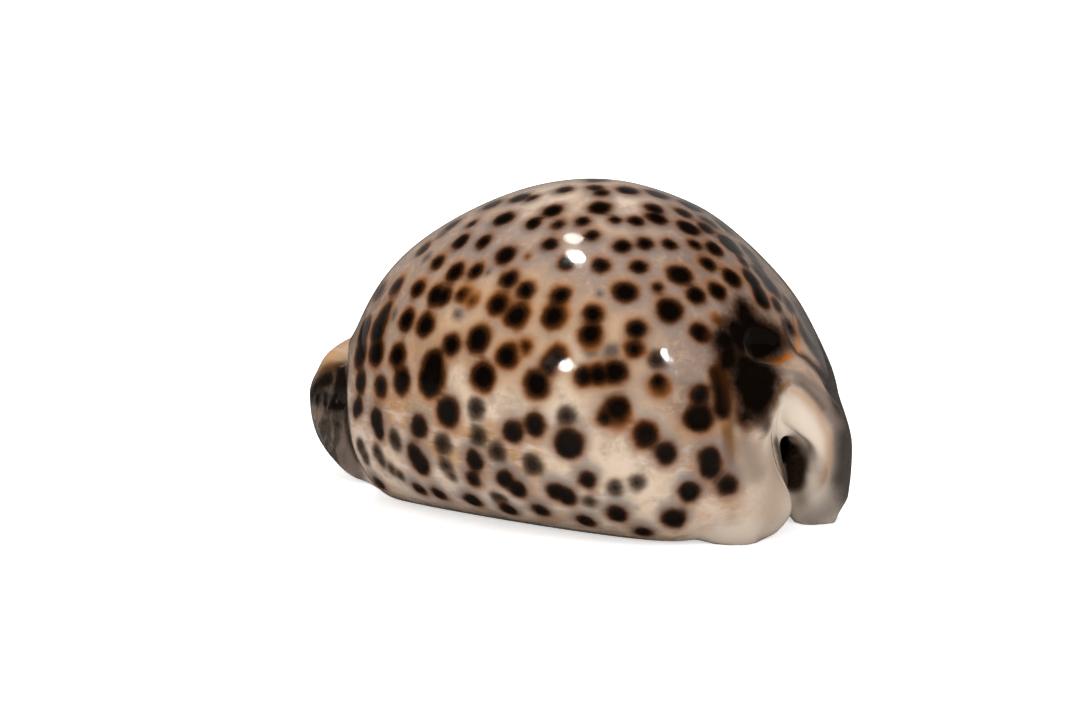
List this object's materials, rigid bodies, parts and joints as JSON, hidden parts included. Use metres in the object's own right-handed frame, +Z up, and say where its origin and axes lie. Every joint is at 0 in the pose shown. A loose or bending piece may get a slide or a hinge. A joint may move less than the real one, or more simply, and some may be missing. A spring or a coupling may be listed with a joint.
{
  "type": "cowrie shell",
  "caption": "Domed, glossy spotted sea shell, hollow inside, with a toothed slit opening along its flat white base.",
  "frame": {"origin": "bottom of the shell, under the middle of its bounding box; the base lips rest on z = 0", "axes": "+X towards the posterior end with the canal and spire pit, -X the anterior beak, +Y the outer lip side, -Y the columellar side, +Z up through the dome"},
  "size_m": [0.0924, 0.061, 0.0501],
  "materials": {
    "shell": "glossy natural enamel, cream to tan with dark brown rust-edged spots, white base"
  },
  "bodies": {
    "root": {"shell": "shell"}
  },
  "joints": []
}
